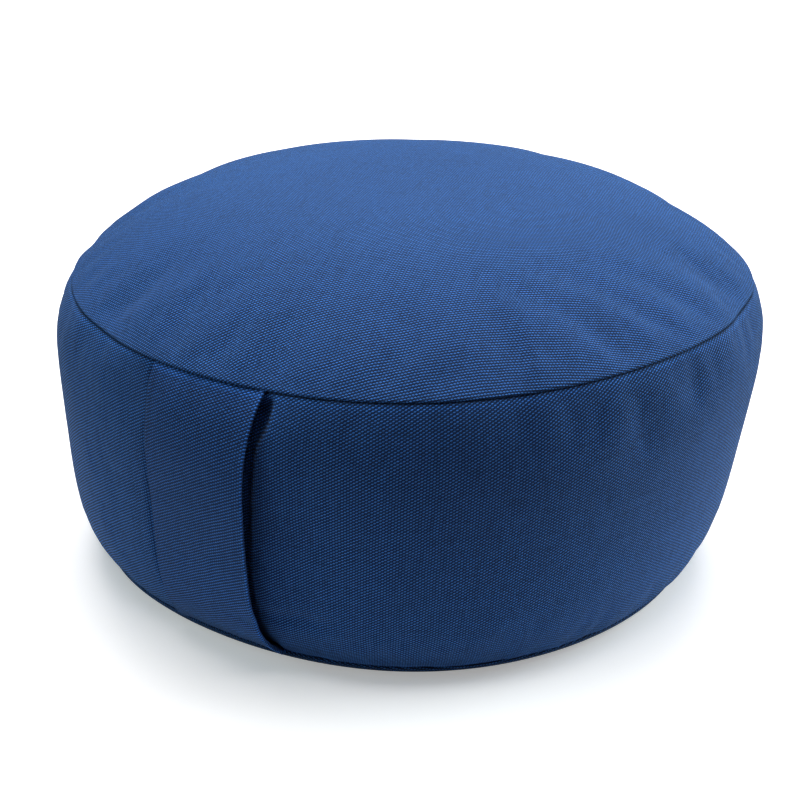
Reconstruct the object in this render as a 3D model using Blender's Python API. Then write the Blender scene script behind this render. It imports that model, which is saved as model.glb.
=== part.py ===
"""Round meditation cushion with a sewn carry handle, as two closed solids.

Everything is in metres, with +Z up and the floor at z = 0. The origin is on the cushion's axis, on the floor.

cushion_body  the filled cover: flat underside, foot seam, bulged side band, top seam and domed top panel
carry_handle  an upright strip of doubled canvas, caught in both seams and open along its two long edges

Angles run round the axis from the handle, which faces -Y, towards +X. A height share runs up the side band,
from 0 at the foot seam to 1 at the top seam. A radius share runs over the top panel, from 0 in its middle to
1 at its seam.
"""
import math
from collections import namedtuple

import bpy
import numpy as np

# Driving sizes of the filled cover
SEAM_RADIUS = 0.165
SEAM_HEIGHT = 0.1427
FOOT_SEAM_RADIUS = 0.1497
FOOT_SEAM_HEIGHT = 0.0072
FLAT_RADIUS = 0.130
BAND_BULGE = 0.0120
BAND_FULLNESS = 4.4
DOME_HEIGHT = 0.0421
DOME_FULLNESS = 3.5
LEAN = 0.0047
LEAN_ANGLE_DEG = 126.5

# The turned-in seams: how far the stitch line is drawn in, and how far each panel's edge rolls over it
SEAM_DRAW_IN = 0.0034
LIP_ROLL = 0.0022
LIP_REACH = 0.0030

# The carry handle: its right edge stands well off the wall, its left edge lies close to it
HANDLE_WIDTH = 0.059
HANDLE_THICKNESS = 0.0024
RIGHT_EDGE_LIFT = 0.0123
LEFT_EDGE_LIFT = 0.0026
LIFT_FULLNESS = 2.2
LIFT_LOWERING = 0.88
FOLD_ROUNDING = 0.0009
CLEARANCE = 0.0003

# Fineness of the meshes
SEGMENTS = 96
BAND_ROWS = 19
END_SHARE = 0.014
ROLL_STEPS = 4
ROLL_TURN_DEG = 86.0
DOME_ROWS = 10
DOME_ROW_SPACING = 1.4
HANDLE_COLUMNS = 13
SHARP_ANGLE_DEG = 50.0

CANVAS_COLOUR = (0.028, 0.075, 0.205, 1.0)
CANVAS_ROUGHNESS = 0.88

# Slow waves round the cushion: how many of them, their height and where the first one peaks
Wave = namedtuple("Wave", "count height peak_deg")
OUTLINE_WAVES = [
    Wave(2, 0.0024, 78.0),
    Wave(3, 0.0012, 15.0),
    Wave(5, 0.0010, 35.0),
]
FOOT_WAVES = [
    Wave(1, 0.0011, -72.0),
    Wave(3, 0.0026, -57.0),
]
SEAM_LINE_WAVES = [
    Wave(1, 0.0006, 105.0),
    Wave(2, 0.0005, 82.0),
    Wave(3, 0.0004, -47.0),
]

# Places where the cloth is drawn in at the top seam, strongest at the seam and fading down the band
Pucker = namedtuple("Pucker", "angle_deg width_deg depth")
PUCKERS = [
    Pucker(-150.0, 6.0, 0.0012),
    Pucker(-112.0, 5.0, 0.0014),
    Pucker(-68.0, 5.0, 0.0018),
    Pucker(-26.0, 6.0, 0.0015),
    Pucker(10.5, 5.0, 0.0018),
    Pucker(47.0, 5.0, 0.0013),
    Pucker(100.0, 6.0, 0.0020),
    Pucker(142.0, 5.0, 0.0014),
    Pucker(172.0, 5.0, 0.0012),
]
PUCKER_REACH = 0.16
PUCKER_DROP = 0.5
SEAM_LINE_FADE = 6.0

# Shallow hollows in the side band, the widest where the handle pulls the two seams together
Dent = namedtuple("Dent", "angle_deg height_share width_deg spread depth")
BAND_DENTS = [
    Dent(0.0, 0.48, 15.0, 0.42, 0.0038),
    Dent(-14.0, 0.86, 6.0, 0.10, 0.0022),
    Dent(-26.0, 0.80, 8.0, 0.14, 0.0015),
    Dent(17.0, 0.20, 9.0, 0.05, 0.0012),
    Dent(62.0, 0.88, 8.0, 0.14, 0.0016),
    Dent(74.0, 0.72, 7.0, 0.18, 0.0018),
    Dent(80.0, 0.90, 6.0, 0.10, 0.0016),
    Dent(128.0, 0.70, 10.0, 0.20, 0.0016),
    Dent(-155.0, 0.62, 11.0, 0.22, 0.0018),
    Dent(-92.0, 0.75, 9.0, 0.18, 0.0014),
]

# Soft folds that run in over the top panel from its seam
Fold = namedtuple("Fold", "angle_deg radius_share turn_deg length width depth")
DOME_FOLDS = [
    Fold(-116.0, 0.90, 20.0, 0.026, 0.012, 0.0012),
    Fold(-91.0, 0.82, 10.0, 0.024, 0.012, 0.0016),
    Fold(-68.0, 0.94, 15.0, 0.024, 0.011, 0.0016),
    Fold(-27.0, 0.92, -25.0, 0.030, 0.011, 0.0014),
    Fold(75.0, 0.88, 35.0, 0.034, 0.011, 0.0014),
    Fold(86.0, 0.88, 35.0, 0.030, 0.010, 0.0016),
    Fold(100.0, 0.89, 30.0, 0.028, 0.010, 0.0018),
    Fold(139.0, 0.90, -15.0, 0.024, 0.012, 0.0014),
    Fold(168.0, 0.80, -20.0, 0.026, 0.012, 0.0014),
]


def bell(distance):
    """A smooth hump: 1 at distance 0, nearly 0 from 2 on."""
    return np.exp(-np.square(distance))


def angle_from(angle, centre_deg):
    """The signed angle in degrees from a centre, between -180 and 180."""
    return (np.degrees(angle) - centre_deg + 180.0) % 360.0 - 180.0


def waves(angle, rows):
    """The sum of slow waves round the cushion."""
    return sum(row.height * np.cos(np.radians(row.count * angle_from(angle, row.peak_deg))) for row in rows)


def pucker_depth(angle):
    """How far the puckers draw the top seam in at an angle."""
    return sum(row.depth * bell(angle_from(angle, row.angle_deg) / row.width_deg) for row in PUCKERS)


def seam_radius(angle):
    """The radius of the top seam's corner."""
    return SEAM_RADIUS + waves(angle, OUTLINE_WAVES) - pucker_depth(angle)


def seam_height(angle):
    """The height of the top seam's corner."""
    return SEAM_HEIGHT + waves(angle, SEAM_LINE_WAVES) - PUCKER_DROP * pucker_depth(angle)


def foot_radius(angle):
    """The radius of the foot seam's corner."""
    return FOOT_SEAM_RADIUS + waves(angle, OUTLINE_WAVES) + waves(angle, FOOT_WAVES)


def band_radius(angle, share):
    """The side band: straight between its two seams, plus a full bulge, less its dents and puckers."""
    straight = foot_radius(angle) * (1.0 - share) + (SEAM_RADIUS + waves(angle, OUTLINE_WAVES)) * share
    bulge = BAND_BULGE * (1.0 - np.abs(2.0 * share - 1.0) ** BAND_FULLNESS)
    dents = sum(
        row.depth
        * bell(angle_from(angle, row.angle_deg) / row.width_deg)
        * bell((share - row.height_share) / row.spread)
        for row in BAND_DENTS
    )
    drawn_in = pucker_depth(angle) * np.exp((share - 1.0) / PUCKER_REACH)
    return straight + bulge - dents - drawn_in


def band_height(angle, share):
    """The height of a point of the side band."""
    return FOOT_SEAM_HEIGHT + (seam_height(angle) - FOOT_SEAM_HEIGHT) * share


def fold_depth(east, north):
    """How deep the top panel's soft folds are at a place, each one a long hollow along its own direction."""
    total = 0.0
    for row in DOME_FOLDS:
        middle = math.radians(row.angle_deg)
        run = math.radians(row.angle_deg + row.turn_deg)
        from_east = east - row.radius_share * SEAM_RADIUS * math.sin(middle)
        from_north = north + row.radius_share * SEAM_RADIUS * math.cos(middle)
        along = from_east * math.sin(run) - from_north * math.cos(run)
        across = from_east * math.cos(run) + from_north * math.sin(run)
        total = total + row.depth * bell(along / row.length) * bell(across / row.width)
    return total


def dome_height(angle, share):
    """The top panel: a filled dome whose edge rolls down into the seam, less its soft folds."""
    radius = seam_radius(angle) * share
    line = SEAM_HEIGHT + (seam_height(angle) - SEAM_HEIGHT) * share**SEAM_LINE_FADE
    dome = DOME_HEIGHT * (1.0 - share**DOME_FULLNESS)
    roll = LIP_ROLL * (1.0 - np.exp((share - 1.0) * SEAM_RADIUS / LIP_REACH))
    return line + dome + roll - fold_depth(radius * np.sin(angle), -radius * np.cos(angle))


def placed(radius, angle, height):
    """World points from radius, angle and height, with the cushion's slight lean."""
    lean = math.radians(LEAN_ANGLE_DEG)
    shift = LEAN * height / SEAM_HEIGHT
    east = radius * np.sin(angle) + shift * math.sin(lean)
    north = -radius * np.cos(angle) - shift * math.cos(lean)
    return np.stack([east, north, height * np.ones_like(east)], axis=-1)


def segment_angles():
    """The angles of the columns of the cushion's mesh."""
    return np.linspace(0.0, 2.0 * math.pi, SEGMENTS, endpoint=False)


def band_shares():
    """Height shares of the rows of the band, closer together near its two seams."""
    even = np.linspace(0.0, 1.0, BAND_ROWS)
    eased = 0.5 - 0.5 * np.cos(math.pi * even)
    return END_SHARE + (1.0 - 2.0 * END_SHARE) * 0.5 * (even + eased)


def underside_rings(angle):
    """The edge of the flat underside, then the quarter roll of the bottom panel up to the foot seam."""
    level = np.zeros_like(angle)
    roll_out = foot_radius(angle) - FLAT_RADIUS
    roll_up = FOOT_SEAM_HEIGHT - 0.5 * LIP_ROLL
    rings = []
    for turn in np.linspace(0.0, math.radians(ROLL_TURN_DEG), ROLL_STEPS + 1):
        radius = FLAT_RADIUS + roll_out * math.sin(turn)
        height = roll_up * (1.0 - math.cos(turn))
        rings.append((radius, level + height))
    return rings


def body_rings(angle):
    """Radius and height of all rings of the cushion, from its underside's edge up and over to its top."""
    rings = underside_rings(angle)
    rings.append((foot_radius(angle) - SEAM_DRAW_IN, FOOT_SEAM_HEIGHT * np.ones_like(angle)))
    rings += [(band_radius(angle, share), band_height(angle, share)) for share in band_shares()]
    rings.append((seam_radius(angle) - SEAM_DRAW_IN, seam_height(angle)))
    lip_share = 1.0 - 0.5 * LIP_ROLL / SEAM_RADIUS
    for step in np.linspace(0.0, 1.0, DOME_ROWS, endpoint=False):
        share = lip_share * (1.0 - step**DOME_ROW_SPACING)
        rings.append((seam_radius(angle) * share, dome_height(angle, share)))
    return rings


def join_to_scene(name, points, faces, material):
    """Make one smooth-shaded object from points and faces."""
    mesh = bpy.data.meshes.new(name)
    mesh.from_pydata([tuple(point) for point in points], [], faces)
    mesh.validate()
    mesh.shade_smooth()
    mesh.set_sharp_from_angle(angle=math.radians(SHARP_ANGLE_DEG))
    mesh.materials.append(material)
    made = bpy.data.objects.new(name, mesh)
    bpy.context.scene.collection.objects.link(made)
    return made


def build_body(material):
    """The filled cover as one closed solid: rings joined by quads, a flat face below and a fan on top."""
    angle = segment_angles()
    rings = body_rings(angle)
    middle = placed(np.zeros(1), np.zeros(1), dome_height(np.zeros(1), np.zeros(1)))
    points = np.concatenate([placed(radius, angle, height) for radius, height in rings] + [middle])
    faces = [tuple(reversed(range(SEGMENTS)))]
    for row in range(len(rings) - 1):
        low, high = row * SEGMENTS, (row + 1) * SEGMENTS
        for column in range(SEGMENTS):
            beside = (column + 1) % SEGMENTS
            faces.append((low + column, low + beside, high + beside, high + column))
    last = (len(rings) - 1) * SEGMENTS
    top = len(points) - 1
    faces += [(last + column, last + (column + 1) % SEGMENTS, top) for column in range(SEGMENTS)]
    return join_to_scene("cushion_body", points, faces, material)


def wall_radius(angle, share):
    """The band's radius along the straight facets between the cushion's columns."""
    columns = segment_angles()
    return np.interp(angle, columns, band_radius(columns, share), period=2.0 * math.pi)


def handle_face(share, across):
    """Radius, angle and height of the handle's inner face: the wall under it, plus the strip's own lift."""
    open_share = (share - END_SHARE) / (1.0 - 2.0 * END_SHARE)
    opening = 1.0 - np.abs(2.0 * open_share**LIFT_LOWERING - 1.0) ** LIFT_FULLNESS
    edge_mix = across / HANDLE_WIDTH + 0.5
    lift = opening * (LEFT_EDGE_LIFT + (RIGHT_EDGE_LIFT - LEFT_EDGE_LIFT) * edge_mix)
    middle_radius = band_radius(0.0, share) + 0.5 * opening * (LEFT_EDGE_LIFT + RIGHT_EDGE_LIFT)
    angle = across / middle_radius
    return wall_radius(angle, share) + CLEARANCE + lift, angle, band_height(angle, share)


def handle_section(share, share_below, share_above):
    """One closed outline of the strip: its inner face, a rounded fold, its outer face and the other fold."""
    across = np.linspace(-0.5 * HANDLE_WIDTH, 0.5 * HANDLE_WIDTH, HANDLE_COLUMNS)
    radius, angle, height = handle_face(share, across)
    radius_below, _, height_below = handle_face(share_below, across)
    radius_above, _, height_above = handle_face(share_above, across)
    rise = height_above - height_below
    out = radius_above - radius_below
    step = HANDLE_THICKNESS / np.hypot(rise, out)
    inner = placed(radius, angle, height)
    outer = placed(radius + step * rise, angle, height - step * out)
    sideways = (inner[-1] - inner[0]) / np.linalg.norm(inner[-1] - inner[0])
    right_fold = 0.5 * (inner[-1] + outer[-1]) + FOLD_ROUNDING * sideways
    left_fold = 0.5 * (inner[0] + outer[0]) - FOLD_ROUNDING * sideways
    return np.concatenate([inner, [right_fold], outer[::-1], [left_fold]])


def end_faces(first_point, around, upward):
    """The faces that close one end of the strip."""
    faces = [(HANDLE_COLUMNS - 1, HANDLE_COLUMNS, HANDLE_COLUMNS + 1), (0, around - 2, around - 1)]
    for column in range(HANDLE_COLUMNS - 1):
        opposite = around - 2 - column
        faces.append((column, column + 1, opposite - 1, opposite))
    if upward:
        faces = [tuple(reversed(face)) for face in faces]
    return [tuple(first_point + corner for corner in face) for face in faces]


def build_handle(material):
    """The carry handle as one closed strip that stands off the wall between the two seams."""
    shares = band_shares()
    last = len(shares) - 1
    sections = [
        handle_section(share, shares[max(row - 1, 0)], shares[min(row + 1, last)])
        for row, share in enumerate(shares)
    ]
    around = len(sections[0])
    faces = end_faces(0, around, upward=False) + end_faces(last * around, around, upward=True)
    for row in range(last):
        low, high = row * around, (row + 1) * around
        for column in range(around):
            beside = (column + 1) % around
            faces.append((low + column, high + column, high + beside, low + beside))
    return join_to_scene("carry_handle", np.concatenate(sections), faces, material)


def canvas_material(name):
    """Matt navy cotton canvas."""
    material = bpy.data.materials.new(name)
    material.use_nodes = True
    shader = material.node_tree.nodes["Principled BSDF"]
    shader.inputs["Base Color"].default_value = CANVAS_COLOUR
    shader.inputs["Roughness"].default_value = CANVAS_ROUGHNESS
    shader.inputs["Metallic"].default_value = 0.0
    return material


def main():
    """Clear the scene and build the cushion."""
    for old in list(bpy.data.objects):
        bpy.data.objects.remove(old, do_unlink=True)
    build_body(canvas_material("cover_canvas"))
    build_handle(canvas_material("handle_canvas"))


if __name__ == "__main__":
    main()
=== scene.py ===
"""Round meditation cushion with a sewn carry handle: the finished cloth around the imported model.

Everything is in metres, with +Z up and the floor at z = 0. Angles run round the axis from the handle, which
faces -Y, towards +X. A height share runs up the side band, from 0 at the foot seam to 1 at the top seam. A
radius share runs over the top panel, from 0 in its middle to 1 at its seam.
"""

import logging
import math
from dataclasses import dataclass, field
from enum import Enum
from typing import NamedTuple, Union

import bpy
import numpy as np
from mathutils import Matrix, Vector, kdtree


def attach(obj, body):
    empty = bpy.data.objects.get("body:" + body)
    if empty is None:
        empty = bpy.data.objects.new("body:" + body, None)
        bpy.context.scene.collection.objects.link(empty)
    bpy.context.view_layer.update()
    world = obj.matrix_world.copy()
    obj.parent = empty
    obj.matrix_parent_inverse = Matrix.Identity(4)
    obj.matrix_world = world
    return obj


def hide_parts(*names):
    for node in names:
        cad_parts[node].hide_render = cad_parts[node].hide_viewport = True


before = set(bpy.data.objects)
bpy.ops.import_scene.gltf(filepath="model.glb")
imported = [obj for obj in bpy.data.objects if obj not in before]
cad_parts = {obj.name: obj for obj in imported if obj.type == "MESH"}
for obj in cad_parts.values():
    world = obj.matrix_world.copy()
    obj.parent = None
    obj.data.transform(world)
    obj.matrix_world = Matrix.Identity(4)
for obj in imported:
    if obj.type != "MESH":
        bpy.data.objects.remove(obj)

LOG = logging.getLogger("cushion")
BODY = "root"
CLOTH_MAP = "cloth"
# The point attribute with the seams' and edges' wear, painted highlight and painted shade.
SEAM_WEAR_AND_PAINTED_LIGHT = "seam"
SHARP_DEG = 75.0

Number = Union[float, np.ndarray]
Colour = tuple[float, float, float, float]


class Wave(NamedTuple):
    """One slow wave round the cushion: how many crests, how high, and where the first one peaks."""

    count: int
    height: float
    peak_deg: float


class Pucker(NamedTuple):
    """A place where the top seam is drawn in."""

    angle_deg: float
    width_deg: float
    depth: float


class Dent(NamedTuple):
    """A shallow hollow in the side band."""

    angle_deg: float
    height_share: float
    width_deg: float
    spread: float
    depth: float


class Fold(NamedTuple):
    """A soft long hollow in the top panel, with its own direction."""

    angle_deg: float
    radius_share: float
    turn_deg: float
    length: float
    width: float
    depth: float


class EdgeSpot(NamedTuple):
    """A spot of the handle's long edge: its height and angle on the side band, and the press under it."""

    height_share: float
    angle_deg: float
    press: float


class Winding(Enum):
    """The order of a quad's corners that turns the faces of a closed grid outward."""

    ROW_FIRST = (0, 1, 2, 3)
    COLUMN_FIRST = (0, 3, 2, 1)


def bell(distance: Number) -> Number:
    """A smooth hump: 1 at distance 0, nearly 0 from 2 on."""
    return np.exp(-np.square(distance))


def step_up(distance: Number) -> Number:
    """A smooth step: nearly 0 below -4, one half at 0 and nearly 1 above 4."""
    return 0.5 + 0.5 * np.tanh(0.5 * distance)


def angle_from(angle: Number, centre_deg: float) -> Number:
    """The signed angle in degrees from a centre, between -180 and 180."""
    return (np.degrees(angle) - centre_deg + 180.0) % 360.0 - 180.0


def waves(angle: Number, rows: tuple[Wave, ...]) -> Number:
    """The sum of slow cosine waves round the cushion."""
    return sum(row.height * np.cos(np.radians(row.count * angle_from(angle, row.peak_deg))) for row in rows)


@dataclass(frozen=True)
class HandleStrip:
    """Sizes of the carry handle's strip of doubled canvas."""

    width: float = 0.059
    thickness: float = 0.0021
    right_lift: float = 0.0121
    left_lift: float = 0.0016
    lift_fullness: float = 2.2
    lift_lowering: float = 0.88
    clearance: float = 0.0003
    seat_depth: float = 0.0017
    seat_fade: float = 0.010
    seat_edge: float = 0.0016
    left_edge: tuple[EdgeSpot, ...] = (
        EdgeSpot(0.00, -11.6, 0.0014),
        EdgeSpot(0.13, -11.8, 0.0015),
        EdgeSpot(0.32, -12.3, 0.0017),
        EdgeSpot(0.49, -12.2, 0.0018),
        EdgeSpot(0.68, -11.2, 0.0018),
        EdgeSpot(0.87, -10.3, 0.0022),
        EdgeSpot(1.00, -11.3, 0.0022),
    )
    right_edge: tuple[EdgeSpot, ...] = (
        EdgeSpot(0.00, 9.8, 0.0008),
        EdgeSpot(0.21, 8.3, 0.0012),
        EdgeSpot(0.38, 7.9, 0.0020),
        EdgeSpot(0.62, 8.9, 0.0030),
        EdgeSpot(0.82, 9.9, 0.0048),
        EdgeSpot(0.90, 11.6, 0.0062),
        EdgeSpot(1.00, 12.4, 0.0066),
    )
    left_reach_deg: float = 2.5
    right_reach_deg: float = 7.0
    press_slope_deg: float = 0.25
    press_softness: float = 4.0
    press_fade: float = 0.035
    crest: float = 0.0026
    crest_offset_deg: float = 3.2
    crest_width_deg: float = 4.2
    crest_fullness: float = 4.0


@dataclass(frozen=True)
class CushionForm:
    """The shape in which the filled cover has settled, shared by the cover and by the handle on it."""

    seam_radius: float = 0.165
    seam_height: float = 0.1427
    foot_radius: float = 0.1497
    foot_height: float = 0.0072
    flat_radius: float = 0.130
    bulge: float = 0.0120
    fullness: float = 4.4
    dome: float = 0.0421
    dome_fullness: float = 3.5
    lean: float = 0.0047
    lean_deg: float = 126.5
    draw_in: float = 0.0036
    groove_gap: float = 0.00012
    panel_lip: float = 0.0009
    band_lip: float = 0.0009
    foot_lip: float = 0.0010
    wall_start_lips: float = 0.6
    wall_stop_lips: float = 0.5
    fold_fade: float = 0.006
    strip: HandleStrip = HandleStrip()
    outline_waves: tuple[Wave, ...] = (
        Wave(2, 0.0024, 78.0),
        Wave(3, 0.0012, 15.0),
        Wave(5, 0.0010, 35.0),
    )
    foot_waves: tuple[Wave, ...] = (
        Wave(1, 0.0011, -72.0),
        Wave(3, 0.0026, -57.0),
    )
    seam_waves: tuple[Wave, ...] = (
        Wave(1, 0.0006, 105.0),
        Wave(2, 0.0005, 82.0),
        Wave(3, 0.0004, -47.0),
    )
    stitch_waves: tuple[Wave, ...] = (
        Wave(23, 0.00016, 11.0),
        Wave(37, 0.00014, 3.0),
        Wave(59, 0.00012, 40.0),
        Wave(83, 0.00010, 17.0),
    )
    stitch_reach: float = 0.011
    puckers: tuple[Pucker, ...] = (
        Pucker(-150.0, 6.0, 0.0012),
        Pucker(-112.0, 5.0, 0.0009),
        Pucker(-68.0, 5.0, 0.0014),
        Pucker(-26.0, 6.0, 0.0015),
        Pucker(10.5, 5.0, 0.0018),
        Pucker(47.0, 5.0, 0.0013),
        Pucker(100.0, 6.0, 0.0020),
        Pucker(142.0, 5.0, 0.0014),
        Pucker(172.0, 5.0, 0.0012),
    )
    pucker_reach: float = 0.16
    pucker_drop: float = 0.5
    seam_line_fade: float = 6.0
    dents: tuple[Dent, ...] = (
        Dent(0.0, 0.48, 15.0, 0.42, 0.0038),
        Dent(-14.0, 0.86, 6.0, 0.10, 0.0022),
        Dent(-26.0, 0.80, 8.0, 0.14, 0.0015),
        Dent(15.0, 0.20, 6.0, 0.03, 0.0014),
        Dent(58.0, 0.90, 5.0, 0.10, 0.0014),
        Dent(69.0, 0.80, 4.5, 0.14, 0.0017),
        Dent(79.0, 0.90, 4.0, 0.08, 0.0018),
        Dent(128.0, 0.70, 10.0, 0.20, 0.0016),
        Dent(-155.0, 0.62, 11.0, 0.22, 0.0018),
        Dent(-92.0, 0.75, 9.0, 0.18, 0.0014),
    )
    folds: tuple[Fold, ...] = (
        Fold(-116.0, 0.90, 20.0, 0.026, 0.012, 0.0007),
        Fold(-91.0, 0.82, 10.0, 0.024, 0.012, 0.0010),
        Fold(-68.0, 0.94, 15.0, 0.024, 0.011, 0.0012),
        Fold(-27.0, 0.92, -25.0, 0.030, 0.011, 0.0014),
        Fold(62.0, 0.86, 40.0, 0.036, 0.008, 0.0010),
        Fold(75.0, 0.86, 35.0, 0.036, 0.008, 0.0013),
        Fold(86.0, 0.88, 35.0, 0.032, 0.008, 0.0014),
        Fold(100.0, 0.89, 30.0, 0.028, 0.009, 0.0013),
        Fold(139.0, 0.90, -15.0, 0.024, 0.012, 0.0014),
        Fold(168.0, 0.80, -20.0, 0.026, 0.012, 0.0014),
    )

    def pucker_depth(self, angle: Number) -> Number:
        """How far the puckers draw the top seam in at an angle: the sum of their humps."""
        return sum(row.depth * bell(angle_from(angle, row.angle_deg) / row.width_deg) for row in self.puckers)

    def corner_radius(self, angle: Number) -> Number:
        """The radius of the top seam's corner: a circle with its slow waves, less its puckers."""
        return self.seam_radius + waves(angle, self.outline_waves) - self.pucker_depth(angle)

    def corner_height(self, angle: Number) -> Number:
        """The height of the top seam's corner: level with slow waves, less part of its puckers."""
        return self.seam_height + waves(angle, self.seam_waves) - self.pucker_drop * self.pucker_depth(angle)

    def foot_line(self, angle: Number) -> Number:
        """The radius of the foot seam's corner: a circle with the outline's waves and its own."""
        return self.foot_radius + waves(angle, self.outline_waves) + waves(angle, self.foot_waves)

    def under_strip(self, angle: Number) -> Number:
        """How fully a place lies under the handle: 1 below it, falling smoothly to 0 past its two edges."""
        past = np.abs(np.radians(angle_from(angle, 0.0))) * self.seam_radius - 0.5 * self.strip.width
        return 1.0 / (1.0 + np.exp((past - self.strip.seat_edge) / self.strip.seat_edge))

    def along_edge(self, share: Number, spots: tuple[EdgeSpot, ...]) -> tuple[Number, Number]:
        """Read one long edge of the handle from its table, straight between neighbouring spots.

        Args:
            share: height share on the band.
            spots: the edge's table.

        Returns:
            The edge's angle in degrees, and the press under it.
        """
        heights = [spot.height_share for spot in spots]
        turn = np.interp(share, heights, [spot.angle_deg for spot in spots])
        return turn, np.interp(share, heights, [spot.press for spot in spots])

    def handle_press(self, angle: Number, share: Number) -> Number:
        """How far the side band lies below its even surface along the handle's two long edges.

        The filling pushes the band out beside the handle's slack right edge, and the band falls away steeply
        under it, so the gap reads as a deep line. Under the left edge the band is pressed in a little. Each
        step is a logistic curve of the angle past the edge.

        Args:
            angle: angle from the handle's side.
            share: height share on the band.

        Returns:
            The depth in metres, negative where the band stands out.
        """
        strip = self.strip
        turn = angle_from(angle, 0.0)
        left_turn, left_press = self.along_edge(share, strip.left_edge)
        right_turn, right_press = self.along_edge(share, strip.right_edge)
        from_left, from_right = turn - left_turn, turn - right_turn
        steep, gentle = strip.press_slope_deg, strip.press_softness * strip.press_slope_deg
        left = step_up(from_left / steep) * step_up((strip.left_reach_deg - from_left) / gentle)
        right = step_up(-from_right / steep) * step_up((from_right + strip.right_reach_deg) / gentle)
        fade = 1.0 - bell(share / strip.press_fade) - bell((1.0 - share) / strip.press_fade)
        crest = bell((from_right - strip.crest_offset_deg) / strip.crest_width_deg)
        between = 1.0 - np.abs(2.0 * share - 1.0) ** strip.crest_fullness
        crest = crest * step_up(from_right / steep) * between
        return fade * (left_press * left + right_press * right) - strip.crest * crest

    def wall_radius(self, angle: Number, share: Number) -> Number:
        """The side band's radius: straight between its seams, plus a full bulge, less its hollows.

        Args:
            angle: angle from the handle's side.
            share: height share on the band.

        Returns:
            The radius, less dents, puckers and the handle's seat, plus the gathers along the seams.
        """
        seam_line = self.seam_radius + waves(angle, self.outline_waves)
        straight = self.foot_line(angle) * (1.0 - share) + seam_line * share
        bulge = self.bulge * (1.0 - np.abs(2.0 * share - 1.0) ** self.fullness)
        hollow = sum(
            row.depth
            * bell(angle_from(angle, row.angle_deg) / row.width_deg)
            * bell((share - row.height_share) / row.spread)
            for row in self.dents
        )
        drawn_in = self.pucker_depth(angle) * np.exp((share - 1.0) / self.pucker_reach)
        tall = self.seam_height - self.foot_height
        fade = self.strip.seat_fade
        near_seams = np.exp((share - 1.0) * tall / fade) + np.exp(-share * tall / fade)
        seat = self.strip.seat_depth * self.under_strip(angle) * near_seams
        to_seam = np.minimum(share, 1.0 - share) * tall
        gathers = waves(angle, self.stitch_waves) * np.exp(-to_seam / self.stitch_reach)
        return straight + bulge - hollow - drawn_in - seat + gathers

    def wall_height(self, angle: Number, share: Number) -> Number:
        """The side band's height: even between its seams, with the handle's seat pressed into its two ends.

        Args:
            angle: angle from the handle's side.
            share: height share on the band.

        Returns:
            The height over the floor.
        """
        low, high = self.foot_height, self.corner_height(angle)
        tall = high - low
        fade = self.strip.seat_fade
        seat = self.strip.seat_depth * self.under_strip(angle)
        pressed = seat * (np.exp(-share * tall / fade) - np.exp((share - 1.0) * tall / fade))
        return low + tall * share + pressed

    def fold_depth(self, east: Number, north: Number) -> Number:
        """How deep the top panel's folds are at a place: each a long hump along its own direction.

        Args:
            east: way along +X.
            north: way along +Y.

        Returns:
            The sum of the folds' depths.
        """
        total = 0.0
        for row in self.folds:
            middle = math.radians(row.angle_deg)
            run = math.radians(row.angle_deg + row.turn_deg)
            from_east = east - row.radius_share * self.seam_radius * math.sin(middle)
            from_north = north + row.radius_share * self.seam_radius * math.cos(middle)
            along = from_east * math.sin(run) - from_north * math.cos(run)
            across = from_east * math.cos(run) + from_north * math.sin(run)
            total = total + row.depth * bell(along / row.length) * bell(across / row.width)
        return total

    def dome_slope_angle(self) -> float:
        """The angle of the dome's normal above the level at its edge, from the slope of its formula."""
        return 0.5 * math.pi - math.atan(self.dome * self.dome_fullness / self.seam_radius)

    def lip_rise(self) -> float:
        """How high the top panel's edge stands over the stitch line: the height of its rolled lip."""
        return self.groove_gap + self.panel_lip * (1.0 + math.sin(self.dome_slope_angle()))

    def edge_share(self) -> float:
        """The radius share at which the dome passes into its rolled lip."""
        return 1.0 - self.panel_lip * (1.0 - math.cos(self.dome_slope_angle())) / self.seam_radius

    def dome_height(self, angle: Number, share: Number) -> Number:
        """The top panel's height: the seam line, the lip's rise and a full dome, less folds.

        Args:
            angle: angle from the handle's side.
            share: radius share on the panel.

        Returns:
            The height over the floor; folds and gathers fade out at the edge.
        """
        radius = self.corner_radius(angle) * share
        line = self.seam_height + (self.corner_height(angle) - self.seam_height) * share**self.seam_line_fade
        edge = self.edge_share()
        dome = self.dome * (edge**self.dome_fullness - share**self.dome_fullness)
        to_edge = (edge - share) * self.seam_radius
        fade = 1.0 - np.exp(-to_edge / self.fold_fade)
        folds = self.fold_depth(radius * np.sin(angle), -radius * np.cos(angle)) * fade
        gathers = waves(angle, self.stitch_waves) * np.exp(-to_edge / self.stitch_reach) * fade
        return line + self.lip_rise() + dome - folds + gathers

    def placed(self, radius: Number, angle: Number, height: Number) -> np.ndarray:
        """World points from radius, angle and height, with the cushion's slight lean.

        Args:
            radius: distance from the axis before the lean.
            angle: angle from the handle's side.
            height: height over the floor; the lean moves a point sideways in proportion to it.

        Returns:
            The points, with their three coordinates in the last axis.
        """
        lean = math.radians(self.lean_deg)
        shift = self.lean * height / self.seam_height
        east = radius * np.sin(angle) + shift * math.sin(lean)
        north = -radius * np.cos(angle) - shift * math.cos(lean)
        return np.stack(np.broadcast_arrays(east, north, height), axis=-1)

    def unplaced(self, points: np.ndarray) -> tuple[np.ndarray, np.ndarray, np.ndarray]:
        """Take the lean out of world points again.

        Args:
            points: the points, with their three coordinates in the last axis.

        Returns:
            The angle, radius and height of each point.
        """
        lean = math.radians(self.lean_deg)
        shift = self.lean * points[..., 2] / self.seam_height
        east, north = points[..., 0] - shift * math.sin(lean), points[..., 1] + shift * math.cos(lean)
        return np.arctan2(east, -north), np.hypot(east, north), points[..., 2]

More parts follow.
